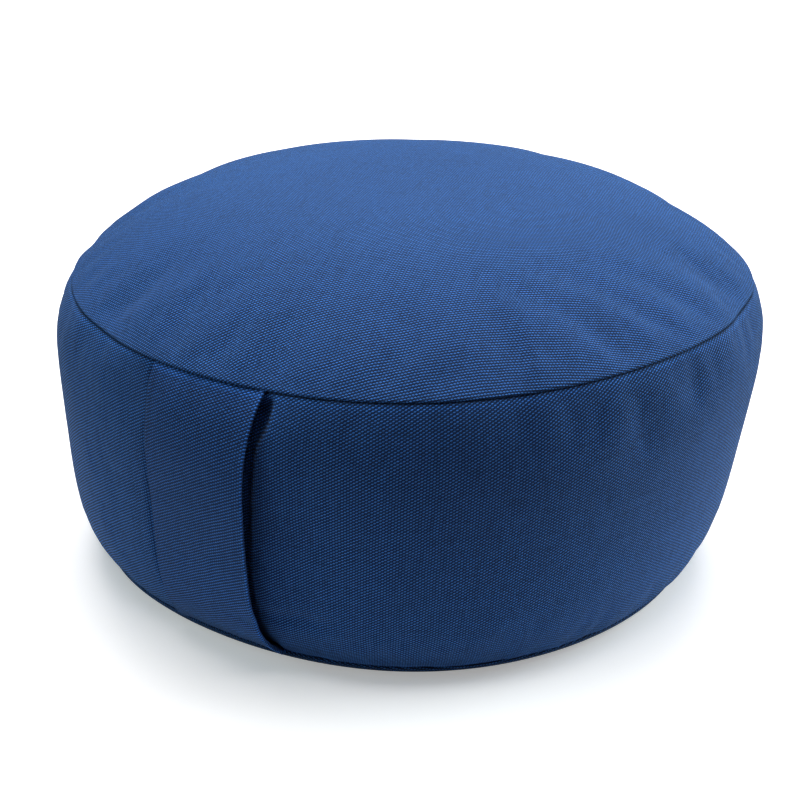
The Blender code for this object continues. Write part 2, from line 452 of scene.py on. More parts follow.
    def band_profile(
        self,
        angle: np.ndarray,
        rows: int,
        lip_rows: int,
        pressed: bool = True,
    ) -> tuple[np.ndarray, np.ndarray]:
        """The side band's section with its two turned-in lips, at each of many angles.

        The wall's rows lie closer together near the seams. Each lip is an arc that leaves the wall along the
        wall's own slope and turns until it faces the other panel, and a level run takes it on to the stitch
        line, a little inside the corner.

        Args:
            angle: the angles, in one row or in one row for each point of the section.
            rows: rows on the wall.
            lip_rows: rows on each lip's arc.
            pressed: whether the handle's edges have marked the band.

        Returns:
            Radius and height, each with one row for each point of the section, from foot to top.
        """
        even = np.linspace(0.0, 1.0, rows)
        eased = 0.5 * (even + 0.5 - 0.5 * np.cos(math.pi * even))
        lip_share = self.band_lip / (self.seam_height - self.foot_height)
        start, stop = self.wall_start_lips * lip_share, 1.0 - self.wall_stop_lips * lip_share
        share = (start + (stop - start) * eased)[:, None]
        radius, height = self.wall_radius(angle, share), self.wall_height(angle, share)
        if pressed:
            radius = radius - self.handle_press(angle, share)
        low = self.lip_arc(radius[0], height[0], radius[1], height[1], -0.5 * math.pi, lip_rows, True)
        high = self.lip_arc(radius[-1], height[-1], radius[-2], height[-2], 0.5 * math.pi, lip_rows, False)
        flat = np.ones_like(radius[:1])
        foot_end = (flat * (self.foot_line(angle) - self.draw_in), flat * self.foot_height)
        seat = self.strip.seat_depth * self.under_strip(np.atleast_2d(angle)[-1:])
        top_line = self.corner_height(angle) - seat
        top_end = (flat * (self.corner_radius(angle) - self.draw_in), flat * top_line)
        radius = np.concatenate([foot_end[0], low[0], radius, high[0], top_end[0]])
        height = np.concatenate([foot_end[1], low[1], height, high[1], top_end[1]])
        return radius, height

    def lip_arc(
        self,
        end_radius: np.ndarray,
        end_height: np.ndarray,
        next_radius: np.ndarray,
        next_height: np.ndarray,
        facing: float,
        rows: int,
        before: bool,
    ) -> tuple[np.ndarray, np.ndarray]:
        """An arc that carries the end of the wall round to face the next panel.

        Args:
            end_radius: radius of the wall's last row.
            end_height: height of the wall's last row.
            next_radius: radius of the row beside it.
            next_height: height of the row beside it.
            facing: the angle above the level that the arc's far end faces.
            rows: rows on the arc.
            before: whether the arc comes before the wall, with its far end first.

        Returns:
            Radius and height of the arc's rows, without the wall's own row.
        """
        sign = -1.0 if before else 1.0
        slope = np.arctan2(sign * (next_radius - end_radius), sign * (end_height - next_height))
        steps = np.linspace(1.0, 0.0, rows + 1)[:-1] if before else np.linspace(0.0, 1.0, rows + 1)[1:]
        turn = slope + (facing - slope) * steps[:, None]
        centre_radius = end_radius - self.band_lip * np.cos(slope)
        centre_height = end_height - self.band_lip * np.sin(slope)
        return centre_radius + self.band_lip * np.cos(turn), centre_height + self.band_lip * np.sin(turn)


class Patch(NamedTuple):
    """A closed grid of points, with the cloth's own flat coordinates and the mask of wear and painted light
    and shade along the seams and edges.
    """

    points: np.ndarray
    cloth: np.ndarray
    seam: np.ndarray


def mesh_points(mesh: bpy.types.Mesh) -> np.ndarray:
    """Read the points of a mesh.

    Args:
        mesh: the mesh.

    Returns:
        All points, one in each row.
    """
    flat = np.empty(3 * len(mesh.vertices), dtype=np.float32)
    mesh.vertices.foreach_get("co", flat)
    return flat.reshape(-1, 3).astype(float)


def path_length(points: np.ndarray) -> np.ndarray:
    """The mean distance run along the first axis of a grid of points, starting at 0."""
    steps = np.linalg.norm(np.diff(points, axis=0), axis=-1).mean(axis=1)
    return np.concatenate([[0.0], np.cumsum(steps)])


def closed_object(name: str, patches: list[Patch], winding: Winding) -> bpy.types.Object:
    """Join grids that follow each other into one smooth object, with a fan of triangles at both ends.

    Neighbouring grids share a row of points, and the last column of each grid joins its first.

    Args:
        name: the object's name.
        patches: the grids, each with one column more of cloth coordinates than of points.
        winding: the order of the quads' corners.

    Returns:
        The new object, at the origin.
    """
    columns = patches[0].points.shape[1]
    column = np.arange(columns)
    beside = (column + 1) % columns
    order = list(winding.value)
    points, seam, faces, cloth = [], [], [], []
    first_row = 0
    for patch in patches:
        skip = min(first_row, 1)
        points.append(patch.points[skip:].reshape(-1, 3))
        seam.append(patch.seam[skip:].ravel())
        rows = len(patch.points) - 1
        low = ((first_row + np.arange(rows)) * columns)[:, None]
        high = low + columns
        quads = np.stack([low + column, low + beside, high + beside, high + column], axis=-1)
        flat = patch.cloth
        corners = np.stack([flat[:-1, :-1], flat[:-1, 1:], flat[1:, 1:], flat[1:, :-1]], axis=2)
        faces += quads[..., order].reshape(-1, 4).tolist()
        cloth.append(corners[:, :, order].reshape(-1, 2))
        first_row += rows
    count = (first_row + 1) * columns
    last = count - columns
    turned = [0, 1, 2] if winding is Winding.ROW_FIRST else [1, 0, 2]
    start, stop, middle = patches[0], patches[-1], np.zeros((columns, 2))
    for fan, corners in (
        ([beside, column, np.full(columns, count)], [start.cloth[0, 1:], start.cloth[0, :-1], middle]),
        (
            [last + column, last + beside, np.full(columns, count + 1)],
            [stop.cloth[-1, :-1], stop.cloth[-1, 1:], middle],
        ),
    ):
        faces += np.stack(fan, axis=-1)[:, turned].tolist()
        cloth.append(np.stack(corners, axis=1)[:, turned].reshape(-1, 2))
    points += [start.points[0].mean(axis=0)[None], stop.points[-1].mean(axis=0)[None]]
    mesh = bpy.data.meshes.new(name)
    mesh.from_pydata(np.concatenate(points).tolist(), [], faces)
    layer = mesh.uv_layers.new(name=CLOTH_MAP)
    layer.data.foreach_set("uv", np.concatenate(cloth).astype(np.float32).ravel())
    seam = np.concatenate([*seam, [0.0, 0.0]])
    # Store the mask of wear, painted highlight and painted shade for the canvas.
    mask = mesh.attributes.new(SEAM_WEAR_AND_PAINTED_LIGHT, "FLOAT", "POINT")
    mask.data.foreach_set("value", seam.astype(np.float32))
    mesh.shade_smooth()
    mesh.set_sharp_from_angle(angle=math.radians(SHARP_DEG))
    made = bpy.data.objects.new(name, mesh)
    bpy.context.scene.collection.objects.link(made)
    return made


@dataclass(frozen=True)
class FillingPressure:
    """The filling's push on a cover that is cut a little fuller than its seams: a short cloth simulation."""

    voxel: float = 0.005
    pressure: float = 4.0
    fullness: float = 0.03
    frames: int = 20
    cap: float = 0.006
    held_reach: float = 0.004
    floor_reach: float = 0.003
    handle_reach_deg: float = 15.0
    neighbours: int = 6
    softening: float = 0.0015
    least_move: float = 1e-9

    def shell(self, cover: bpy.types.Object) -> bpy.types.Object:
        """Make a copy of the cover with even faces, for the simulation.

        Args:
            cover: the cover's object.

        Returns:
            The new object, with a mesh of its own.
        """
        copy = bpy.data.objects.new("pressed copy", cover.data.copy())
        bpy.context.scene.collection.objects.link(copy)
        remesh = copy.modifiers.new("even faces", "REMESH")
        remesh.mode = "VOXEL"
        remesh.voxel_size = self.voxel
        old = copy.data
        evaluated = copy.evaluated_get(bpy.context.evaluated_depsgraph_get())
        even = bpy.data.meshes.new_from_object(evaluated)
        copy.modifiers.clear()
        copy.data = even
        bpy.data.meshes.remove(old)
        return copy

    def held(self, points: np.ndarray, form: CushionForm) -> np.ndarray:
        """Find the points that stay: at both seams, on the floor and at the handle.

        Args:
            points: the simulated mesh's points.
            form: the cushion's form.

        Returns:
            The numbers of those points.
        """
        angle, radius, height = form.unplaced(points)
        top = np.hypot(radius - form.corner_radius(angle), height - form.corner_height(angle))
        foot = np.hypot(radius - form.foot_line(angle), height - form.foot_height)
        stays = (np.minimum(top, foot) < self.held_reach) | (height < self.floor_reach)
        beside = np.abs(angle_from(angle, 0.0)) < self.handle_reach_deg
        return np.flatnonzero(stays | (beside & (height < form.corner_height(angle))))

    def push(self, cover: bpy.types.Object, form: CushionForm) -> tuple[np.ndarray, np.ndarray]:
        """Run the simulation on a copy and take the copy away again.

        Args:
            cover: the cover's object.
            form: the cushion's form, which says where the cloth is held.

        Returns:
            The copy's points before it, and how far each moved, capped.
        """
        copy = self.shell(cover)
        start = mesh_points(copy.data)
        copy.vertex_groups.new(name="held").add(self.held(start, form).tolist(), 1.0, "REPLACE")
        settings = copy.modifiers.new("pressure", "CLOTH").settings
        settings.use_pressure = True
        settings.uniform_pressure_force = self.pressure
        settings.shrink_min = -self.fullness
        settings.vertex_group_mass = "held"
        settings.effector_weights.gravity = 0.0
        for number in range(1, self.frames + 1):
            bpy.context.scene.frame_set(number)
        evaluated = copy.evaluated_get(bpy.context.evaluated_depsgraph_get())
        moved = mesh_points(evaluated.data) - start
        bpy.context.scene.frame_set(1)
        mesh = copy.data
        bpy.data.objects.remove(copy)
        bpy.data.meshes.remove(mesh)
        size = np.linalg.norm(moved, axis=1, keepdims=True)
        return start, moved * np.minimum(1.0, self.cap / np.maximum(size, self.least_move))

    def carried(self, start: np.ndarray, moved: np.ndarray, points: np.ndarray) -> np.ndarray:
        """Carry the movement to other points: the mean of the nearest ones, by nearness.

        Args:
            start: the simulated points.
            moved: their movement.
            points: the points to carry it to.

        Returns:
            The movement of each point.
        """
        tree = kdtree.KDTree(len(start))
        for number, place in enumerate(start):
            tree.insert(place, number)
        tree.balance()
        hits = [tree.find_n(place, self.neighbours) for place in points]
        numbers = np.array([[hit[1] for hit in row] for row in hits])
        share = 1.0 / (np.array([[hit[2] for hit in row] for row in hits]) + self.softening) ** 2
        return (moved[numbers] * share[..., None]).sum(axis=1) / share.sum(axis=1)[:, None]


@dataclass
class Cover:
    """The sewn cover over its filling: foot panel, side band and top panel as one closed padded piece."""

    form: CushionForm
    coarse_columns: int = 480
    fine_columns: int = 170
    fine_from_deg: float = -15.0
    fine_to_deg: float = 19.0
    disc_rows: int = 5
    roll_rows: int = 8
    roll_turn_deg: float = 88.0
    lip_rows: int = 5
    wall_rows: int = 60
    dome_rows: int = 48
    dome_spacing: float = 1.35
    grain_deg: float = 14.0
    band_turn_radius: float = 0.172
    pole_radius: float = 0.002
    # Widths of the seam marks: the paler lip, wear with painted highlight, and the step into painted shade in
    # the groove.
    seam_width: float = 0.0013
    groove_fade: float = 0.0002
    groove_share: float = 0.2
    foot_lip_from_deg: float = 15.0
    # Painted shade held over the whole foot panel.
    under_shade: float = 0.6
    broad_waves: int = 6
    settle_share: float = 0.5
    settle_from_radius: float = 0.122
    settle_slope: float = 0.007
    settle_fade: float = 0.006
    settle_floor_slope: float = 0.0012
    settle_from_deg: float = 20.0
    settle_steep_deg: float = 0.8
    fill: float = 0.8

    @property
    def columns(self) -> int:
        """How many columns of points go round the cushion."""
        return self.coarse_columns + self.fine_columns

    def angles(self) -> np.ndarray:
        """Space the mesh's columns round the cushion, closer together at the handle.

        Returns:
            The angle of each column.
        """
        fine = np.linspace(self.fine_from_deg, self.fine_to_deg, self.fine_columns, endpoint=False)
        full_turn = self.fine_from_deg + 360.0
        coarse = np.linspace(self.fine_to_deg, full_turn, self.coarse_columns, endpoint=False)
        return np.radians(np.concatenate([fine, coarse]))

    def closed_angles(self) -> np.ndarray:
        """The columns' angles with the first one repeated a full turn on."""
        angle = self.angles()
        return np.append(angle, angle[0] + 2.0 * math.pi)

    def panel_cloth(self, length: np.ndarray, turn_deg: float) -> np.ndarray:
        """Flat cloth coordinates of a round panel: the way run from its middle, along each angle.

        Args:
            length: the distance from the panel's middle, for each row.
            turn_deg: the direction of the weft in plan.

        Returns:
            Two coordinates in metres for each row and each column, the first column repeated at the end.
        """
        angle = self.closed_angles() - math.radians(turn_deg)
        return length[:, None, None] * np.stack([np.sin(angle), -np.cos(angle)], axis=-1)[None]

    def seam_wear_and_painted_light(self, run: np.ndarray, lip: float) -> np.ndarray:
        """How a seam marks the cloth with wear and painted light: 1 on its lip, worn and with painted
        highlight, -1 down in its groove, where shade is painted, and 0 away from it.

        Args:
            run: the way run out from the stitch line, for each row.
            lip: the radius of the lip's roll.

        Returns:
            The mask for each row: a hump on the lip less a smooth step inside it.
        """
        beyond = run - self.form.draw_in
        # The step is painted shade down in the groove; the hump on the lip is wear with painted highlight.
        groove = step_up(-(beyond - self.groove_share * lip) / self.groove_fade)
        return bell((beyond - lip) / self.seam_width) - groove

    def foot_panel(self, angle: np.ndarray) -> Patch:
        """The round bottom panel: flat, then a quarter of an ellipse up, then a lip over to the stitch line.

        Args:
            angle: the columns' angles.

        Returns:
            The panel's grid, from its middle out.
        """
        form = self.form
        disc = np.linspace(self.pole_radius, form.flat_radius, self.disc_rows, endpoint=False)
        turn = np.radians(np.linspace(0.0, self.roll_turn_deg, self.roll_rows))
        lip_turn = np.radians(np.linspace(self.foot_lip_from_deg, 90.0, self.lip_rows))
        roll_up = form.foot_height - form.foot_lip
        line, level = form.foot_line(angle), np.ones_like(angle)
        radius = np.concatenate([
            disc[:, None] * level,
            form.flat_radius + (line - form.flat_radius) * np.sin(turn)[:, None],
            line - form.foot_lip * (1.0 - np.cos(lip_turn))[:, None],
            line[None] - form.draw_in,
        ])
        height = np.concatenate([
            np.zeros(self.disc_rows),
            roll_up * (1.0 - np.cos(turn)),
            roll_up + (form.foot_lip - form.groove_gap) * np.sin(lip_turn),
            [form.foot_height],
        ])
        points = form.placed(radius, angle, height[:, None] * level)
        length = self.pole_radius + path_length(points)
        # Painted shade over the whole foot panel, deeper down in its groove; its lip is not made paler.
        seam = np.minimum(self.seam_wear_and_painted_light(length[-1] - length, form.foot_lip), -self.under_shade)
        return Patch(points, self.panel_cloth(length, self.grain_deg), seam[:, None] + 0.0 * angle)

    def side_band(self, angle: np.ndarray) -> Patch:
        """The side band, with its cloth coordinates as the way round and the way up.

        Args:
            angle: the columns' angles.

        Returns:
            The band's grid, from its foot up.
        """
        radius, height = self.form.band_profile(angle, self.wall_rows, self.lip_rows)
        points = self.form.placed(radius, angle, height)
        length = path_length(points)
        turn = self.closed_angles() * self.band_turn_radius
        cloth = np.stack(np.broadcast_arrays(turn[None], length[:, None]), axis=-1)
        # Both lips of the band paler, wear with painted highlight, and painted shade down in each groove.
        seam = self.seam_wear_and_painted_light(np.minimum(length, length[-1] - length), self.form.band_lip)
        return Patch(points, cloth, seam[:, None] + 0.0 * angle)

    def top_panel(self, angle: np.ndarray) -> Patch:
        """The round top panel: a lip that turns out from the stitch line, then the dome.

        Args:
            angle: the columns' angles.

        Returns:
            The panel's grid, from its stitch line in to its middle.
        """
        form = self.form
        corner, line = form.corner_radius(angle), form.corner_height(angle)
        lip_turn = np.linspace(-0.5 * math.pi, form.dome_slope_angle(), 2 * self.lip_rows)[:-1, None]
        lip_radius = corner - form.panel_lip * (1.0 - np.cos(lip_turn))
        lip_height = line + form.groove_gap + form.panel_lip * (1.0 + np.sin(lip_turn))
        steps = np.linspace(0.0, 1.0, self.dome_rows)
        least = self.pole_radius / form.seam_radius
        share = (form.edge_share() - (form.edge_share() - least) * steps**self.dome_spacing)[:, None]
        radius = np.concatenate([corner[None] - form.draw_in, lip_radius, corner * share])
        height = np.concatenate([line[None], lip_height, form.dome_height(angle, share)])
        points = form.placed(radius, angle, height)
        run = path_length(points)
        length = run[-1] - run + self.pole_radius
        # The top panel keeps only the painted shade in its groove; its lip is not made paler.
        seam = np.minimum(self.seam_wear_and_painted_light(run, form.panel_lip), 0.0)
        return Patch(points, self.panel_cloth(length, self.grain_deg), seam[:, None] + 0.0 * angle)

    def build(self) -> bpy.types.Object:
        """Join the three panels into one closed mesh; neighbours share their stitch line's row of points.

        Returns:
            The cover's object.
        """
        angle = self.angles()
        panels = [self.foot_panel(angle), self.side_band(angle), self.top_panel(angle)]
        return closed_object("cover", panels, Winding.ROW_FIRST)

    def fine_part(self, values: np.ndarray) -> np.ndarray:
        """Take the broad part off values round each ring: the best sum of waves with only a few crests.

        Args:
            values: one row for each ring and one column for each angle.

        Returns:
            What is left of the values.
        """
        angle = self.angles()
        width = np.gradient(self.closed_angles())[:-1]
        count = np.arange(1, self.broad_waves + 1)[:, None]
        shapes = np.concatenate([np.ones((1, self.columns)), np.cos(count * angle), np.sin(count * angle)])
        amounts = np.linalg.solve((shapes * width) @ shapes.T, (shapes * width) @ values.T)
        return values - (shapes.T @ amounts).T

    def settle(self, made: bpy.types.Object, filling: FillingPressure) -> float:
        """Lay the fine part of the simulated movement over the cover.

        The form is already as full as the real one, so the broad part of the movement round each ring of
        points is taken off, and a share of the unevenness that the seams leave in the cloth stays. It fades
        out at the seams, on the floor, at the handle and towards the top's smooth middle.

        Args:
            made: the cover's object.
            filling: the filling's pressure.

        Returns:
            The largest movement that was laid on, in metres.
        """
        points = mesh_points(made.data)
        rings = points[: len(points) - 2].reshape(-1, self.columns, 3)
        start, moved = filling.push(made, self.form)
        carried = filling.carried(start, moved, rings.reshape(-1, 3)).reshape(rings.shape)
        angle, radius, height = self.form.unplaced(rings)
        out = self.fine_part(carried[..., 0] * np.sin(angle) - carried[..., 1] * np.cos(angle))
        rise = self.fine_part(carried[..., 2])
        uneven = np.stack([out * np.sin(angle), -out * np.cos(angle), rise], axis=-1)
        top = np.hypot(radius - self.form.corner_radius(angle), height - self.form.corner_height(angle))
        foot = np.hypot(radius - self.form.foot_line(angle), height - self.form.foot_height)
        fade = self.settle_share * (1.0 - bell(np.minimum(top, foot) / self.settle_fade))
        fade = fade * step_up((height - self.settle_fade) / self.settle_floor_slope)
        outer = step_up((radius - self.settle_from_radius) / self.settle_slope)
        beside = step_up((np.abs(angle_from(angle, 0.0)) - self.settle_from_deg) / self.settle_steep_deg)
        laid = uneven * (fade * np.where(height > self.form.corner_height(angle), outer, beside))[..., None]
        points[: len(points) - 2] += laid.reshape(-1, 3)
        made.data.vertices.foreach_set("co", points.astype(np.float32).ravel())
        made.data.update()
        return float(np.linalg.norm(laid, axis=-1).max())

    def dress(self, made: bpy.types.Object, material: bpy.types.Material) -> None:
        """Give the cover its cloth, hide the model's part that it replaces, and hang it on the body.

        Args:
            made: the cover's object.
            material: its canvas.
        """
        made.data.materials.append(material)
        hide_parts("cushion_body")
        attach(made, BODY)


@dataclass
class CarryHandle:
    """The upright strip on the side band: caught in both seams, with its right edge standing off the wall."""

    form: CushionForm
    wall_rows: int = 90
    lip_rows: int = 7
    face_columns: int = 40
    fold_columns: int = 7
    # Marks on the strip's cloth: a paler right rim, part wear and part painted highlight, painted shade along
    # the left fold, and a darker line along the hem near the top.
    rim_width: float = 0.0012
    hem_inset: float = 0.0034
    hem_width: float = 0.0010
    hem_run: float = 0.022
    hem_shade: float = 0.45
    fold_width: float = 0.0006
    fold_shade: float = 0.6
    cut_length: float = 0.150

    def loop(self) -> tuple[np.ndarray, np.ndarray]:
        """The strip's closed outline: inner face, right fold, outer face and left fold.

        Returns:
            The way across, and the way off the middle layer, both in metres.
        """
        strip = self.form.strip
        round_off = 0.5 * strip.thickness
        half = 0.5 * strip.width - round_off
        even = np.linspace(-1.0, 1.0, self.face_columns)
        face = half * even * (1.5 - 0.5 * even**2)
        turn = np.radians(np.linspace(-90.0, 90.0, self.fold_columns + 2))[1:-1]
        across = np.concatenate([
            face, half + round_off * np.cos(turn), face[::-1], -half - round_off * np.cos(turn)
        ])
        off = np.concatenate([
            np.full(self.face_columns, -round_off),
            round_off * np.sin(turn),
            np.full(self.face_columns, round_off),
            -round_off * np.sin(turn),
        ])
        return across, off

    def middle_layer(self, across: np.ndarray) -> tuple[np.ndarray, np.ndarray, np.ndarray]:
        """Radius, angle and height of the strip's middle: the band's section under it, plus its own lift.

        The lift is 0 at both seams, fullest between them, and grows evenly from the left edge to the right.

        Args:
            across: the way across the strip, for each point of its outline.

        Returns:
            Radius, angle and height, each with one row for each point of the band's section.
        """
        form, strip = self.form, self.form.strip
        centre_radius, centre_height = form.band_profile(np.zeros(1), self.wall_rows, self.lip_rows, False)
        open_share = (centre_height - centre_height[0]) / (centre_height[-1] - centre_height[0])
        open_share = np.clip(open_share, 0.0, 1.0)
        opening = 1.0 - np.abs(2.0 * open_share**strip.lift_lowering - 1.0) ** strip.lift_fullness
        angle = across / (centre_radius + 0.5 * opening * (strip.left_lift + strip.right_lift))
        radius, height = np.empty_like(angle), np.empty_like(angle)
        for row in range(len(angle)):
            section = form.band_profile(angle[row], self.wall_rows, self.lip_rows, False)
            radius[row], height[row] = section[0][row], section[1][row]
        edge_mix = np.clip(across / strip.width + 0.5, 0.0, 1.0)
        lift = opening * (strip.left_lift + (strip.right_lift - strip.left_lift) * edge_mix)
        out, up = section_normals(radius, height)
        gap = strip.clearance + 0.5 * strip.thickness
        return radius + gap * out + lift, angle, height + gap * up

    def build(self) -> bpy.types.Object:
        """Build the strip as one closed mesh, with its mask of wear, painted highlight and painted shade.

        Returns:
            The handle's object.
        """
        across, off = self.loop()
        radius, angle, height = self.middle_layer(across)
        out, up = section_normals(radius, height)
        points = self.form.placed(radius + off * out, angle, height + off * up)
        length = path_length(points)
        loop_run = np.append(across, across[0])
        flat = np.stack(np.broadcast_arrays(loop_run[None], length[:, None]), axis=-1)
        half = 0.5 * self.form.strip.width
        to_top = (length[-1] - length)[:, None]
        # Paler right edge and top lip: part wear, part painted highlight.
        worn_and_highlit = bell((half - across) / self.rim_width)[None]
        worn_and_highlit = np.maximum(worn_and_highlit, bell((to_top - self.form.draw_in - self.form.band_lip) / self.rim_width))
        # Painted shade along the left fold.
        painted_fold_shade = self.fold_shade * bell((half + across) / self.fold_width)[None]
        # A line painted darker along the hem, fading out below the top.
        hem = self.hem_shade * bell((half - self.hem_inset + across) / self.hem_width)
        hem = hem * bell(to_top / self.hem_run)
        return closed_object("handle", [Patch(points, flat, worn_and_highlit - painted_fold_shade - hem)], Winding.COLUMN_FIRST)

    def dress(self, made: bpy.types.Object, material: bpy.types.Material) -> None:
        """Give the handle its cloth, hide the model's part that it replaces, and hang it on the body.

        Args:
            made: the handle's object.
            material: its canvas.
        """
        made.data.materials.append(material)
        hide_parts("carry_handle")
        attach(made, BODY)


def section_normals(radius: np.ndarray, height: np.ndarray) -> tuple[np.ndarray, np.ndarray]:
    """Unit vectors square to a section's run, pointing out: its direction turned by a quarter.

    Args:
        radius: radius of each row of the section.
        height: height of each row of the section.

    Returns:
        The outward and the upward part of each vector.
    """
    run_out, run_up = np.gradient(radius, axis=0), np.gradient(height, axis=0)
    size = np.hypot(run_out, run_up)
    return run_up / size, -run_out / size


class Sketch:
    """Adds nodes to one node tree and wires them."""

    def __init__(self, tree: bpy.types.NodeTree) -> None:
        """Keep the tree that the nodes go into."""
        self.tree = tree

    def node(self, kind: str, inputs: dict[str, object] | None = None, **settings: object) -> bpy.types.Node:
        """Add one node.

        Args:
            kind: the node's type.
            inputs: values or sockets for its inputs, by name or by number.
            settings: the node's own properties.

        Returns:
            The node.
        """
        made = self.tree.nodes.new(kind)
        for name, value in settings.items():
            setattr(made, name, value)
        for name, value in (inputs or {}).items():
            self.feed(made.inputs[name], value)
        return made

    def feed(self, socket: bpy.types.NodeSocket, value: object) -> None:
        """Link a socket to an input, or set the input's value.

        Args:
            socket: the input.
            value: the socket or the value that goes into it.
        """
        if isinstance(value, bpy.types.NodeSocket):
            self.tree.links.new(value, socket)
        else:
            socket.default_value = value

    def math(self, operation: str, *values: object) -> bpy.types.NodeSocket:
        """Add a Math node and return its output."""
        return self.node("ShaderNodeMath", dict(enumerate(values)), operation=operation).outputs[0]

    def noise(self, place: object, scale: float, detail: float) -> bpy.types.Node:
        """Add a noise texture and return its node."""
        return self.node("ShaderNodeTexNoise", {"Vector": place, "Scale": scale, "Detail": detail})

    def ramp(
        self, value: object, low: object, high: object, to_low: float, to_high: float
    ) -> bpy.types.NodeSocket:
        """Carry a value smoothly from one range to another.

        Args:
            value: the value.
            low: where its range begins.
            high: where its range ends.
            to_low: the result at the beginning.
            to_high: the result at the end.

        Returns:
            The result's socket.
        """
        made = self.node(
            "ShaderNodeMapRange",
            {"Value": value, "From Min": low, "From Max": high, "To Min": to_low, "To Max": to_high},
            interpolation_type="SMOOTHSTEP",
        )
        return made.outputs["Result"]

    def blend(self, share: object, first: object, second: object, mode: str = "MIX") -> bpy.types.NodeSocket:
        """Mix two colours.

        Args:
            share: how much of the second colour goes in.
            first: the first colour.
            second: the second colour.
            mode: how they are mixed.

        Returns:
            The result's socket.
        """
        made = self.node("ShaderNodeMix", data_type="RGBA", blend_type=mode)
        self.feed(made.inputs["Factor"], share)
        self.feed(made.inputs[6], first)
        self.feed(made.inputs[7], second)
        return made.outputs[2]


def new_group(
    name: str, inputs: dict[str, tuple[str, object]], outputs: tuple[str, ...]
) -> bpy.types.NodeTree:
    """Make an empty shader node group with named sockets.

    Args:
        name: the group's name.
        inputs: socket type and default value for each input, None for no default.
        outputs: the names of its number outputs.

    Returns:
        The group's tree.
    """
    tree = bpy.data.node_groups.new(name, "ShaderNodeTree")
    for socket_name, (kind, value) in inputs.items():
        socket = tree.interface.new_socket(socket_name, in_out="INPUT", socket_type=kind)
        if value is not None:
            socket.default_value = value
    for socket_name in outputs:
        tree.interface.new_socket(socket_name, in_out="OUTPUT", socket_type="NodeSocketFloat")
    return tree


def plain_weave_group() -> bpy.types.NodeTree:
    """The canvas weave, from flat cloth coordinates in metres.

    Ends lie a pitch apart across and picks a pitch apart along. The product of the two cosines that change
    sign from thread to thread is 1 where an end floats on top and -1 where a pick does, so the floats of the
    ends make the light dots in a chessboard. These dots are painted highlight on the raised floats, and the
    picks and the gaps between threads are left in painted shade. The yarn's twist slants each float, threads
    wander a little and differ in thickness, and each float is a little paler or darker than the next, as the
    threads' own colour varies.

    Returns:
        The group, with the outputs Height and Dots.
    """
    number, vector = "NodeSocketFloat", "NodeSocketVector"
    drift_scale, thread_roundness, pick_relief = 85.0, 0.6, 0.7
    end_spread, pick_spread, slub_stretch = 7.31, 5.17, 0.045
    dot_from, dot_full, faint_from, faint_light = -0.02, 0.75, 0.3, 0.14
    tree = new_group(
        "plain weave",
        {
            "Cloth": (vector, None),
            "End Pitch": (number, 0.00126),
            "Pick Pitch": (number, 0.00076),
            "Wander": (number, 0.75),
            "Slubs": (number, 0.60),
            "Twist": (number, -0.5),
            "Flecks": (number, 0.35),
        },
        ("Height", "Dots"),
    )
    sketch = Sketch(tree)
    given = sketch.node("NodeGroupInput").outputs
    result = sketch.node("NodeGroupOutput").inputs
    drift = sketch.noise(given["Cloth"], drift_scale, 2.0)
    sway = sketch.node("ShaderNodeSeparateColor", {"Color": drift.outputs["Color"]}).outputs
    parts = sketch.node("ShaderNodeSeparateXYZ", {"Vector": given["Cloth"]}).outputs
    ends = sketch.math("DIVIDE", parts["X"], given["End Pitch"])
    ends = sketch.math("MULTIPLY_ADD", sketch.math("SUBTRACT", sway[0], 0.5), given["Wander"], ends)
    picks = sketch.math("DIVIDE", parts["Y"], given["Pick Pitch"])
    picks = sketch.math("MULTIPLY_ADD", sketch.math("SUBTRACT", sway[1], 0.5), given["Wander"], picks)
    inside = sketch.math("SUBTRACT", picks, sketch.math("ROUND", picks))
    ends = sketch.math("MULTIPLY_ADD", inside, given["Twist"], ends)
    end_wave = sketch.math("COSINE", sketch.math("MULTIPLY", ends, math.pi))
    pick_wave = sketch.math("COSINE", sketch.math("MULTIPLY", picks, math.pi))
    floats = sketch.math("MULTIPLY", end_wave, pick_wave)
    tops = []
    for wave, sign in ((end_wave, 0.5), (pick_wave, -0.5)):
        rounded = sketch.math("POWER", sketch.math("ABSOLUTE", wave), thread_roundness)
        tops.append(sketch.math("MULTIPLY", rounded, sketch.math("MULTIPLY_ADD", floats, sign, 0.5)))
    height = sketch.math("MAXIMUM", tops[0], sketch.math("MULTIPLY", tops[1], pick_relief))
    end_number = sketch.math("ROUND", ends)
    pick_number = sketch.math("ROUND", picks)
    slubs = []
    for x, x_scale, y, y_scale in (
        (end_number, end_spread, picks, slub_stretch),
        (ends, slub_stretch, pick_number, pick_spread),
    ):
        spot = {"X": sketch.math("MULTIPLY", x, x_scale), "Y": sketch.math("MULTIPLY", y, y_scale)}
        place = sketch.node("ShaderNodeCombineXYZ", spot).outputs[0]
        slubs.append(sketch.noise(place, 1.0, 1.0).outputs["Fac"])
    slub = sketch.math("SUBTRACT", sketch.math("ADD", *slubs), 1.0)
    uneven = sketch.math("MULTIPLY_ADD", slub, given["Slubs"], 1.0)
    sketch.feed(result["Height"], sketch.math("MULTIPLY", height, uneven))
    # Dots: painted highlight on the end floats, a faint lift on the pick floats, and painted shade between,
    # varied thread by thread by the flecks.
    dot = sketch.ramp(floats, dot_from, dot_full, 0.0, 1.0)
    faint = sketch.ramp(sketch.math("MULTIPLY", floats, -1.0), faint_from, 1.0, 0.0, faint_light)
    crossing = sketch.node("ShaderNodeCombineXYZ", {"X": end_number, "Y": pick_number}).outputs[0]
    chance = sketch.node("ShaderNodeTexWhiteNoise", {"Vector": crossing}, noise_dimensions="3D").outputs
    fleck = sketch.math("SUBTRACT", chance["Value"], 0.5)
    fleck = sketch.math("MULTIPLY_ADD", fleck, given["Flecks"], uneven)
    sketch.feed(result["Dots"], sketch.math("MULTIPLY", sketch.math("ADD", dot, faint), fleck))
    return tree


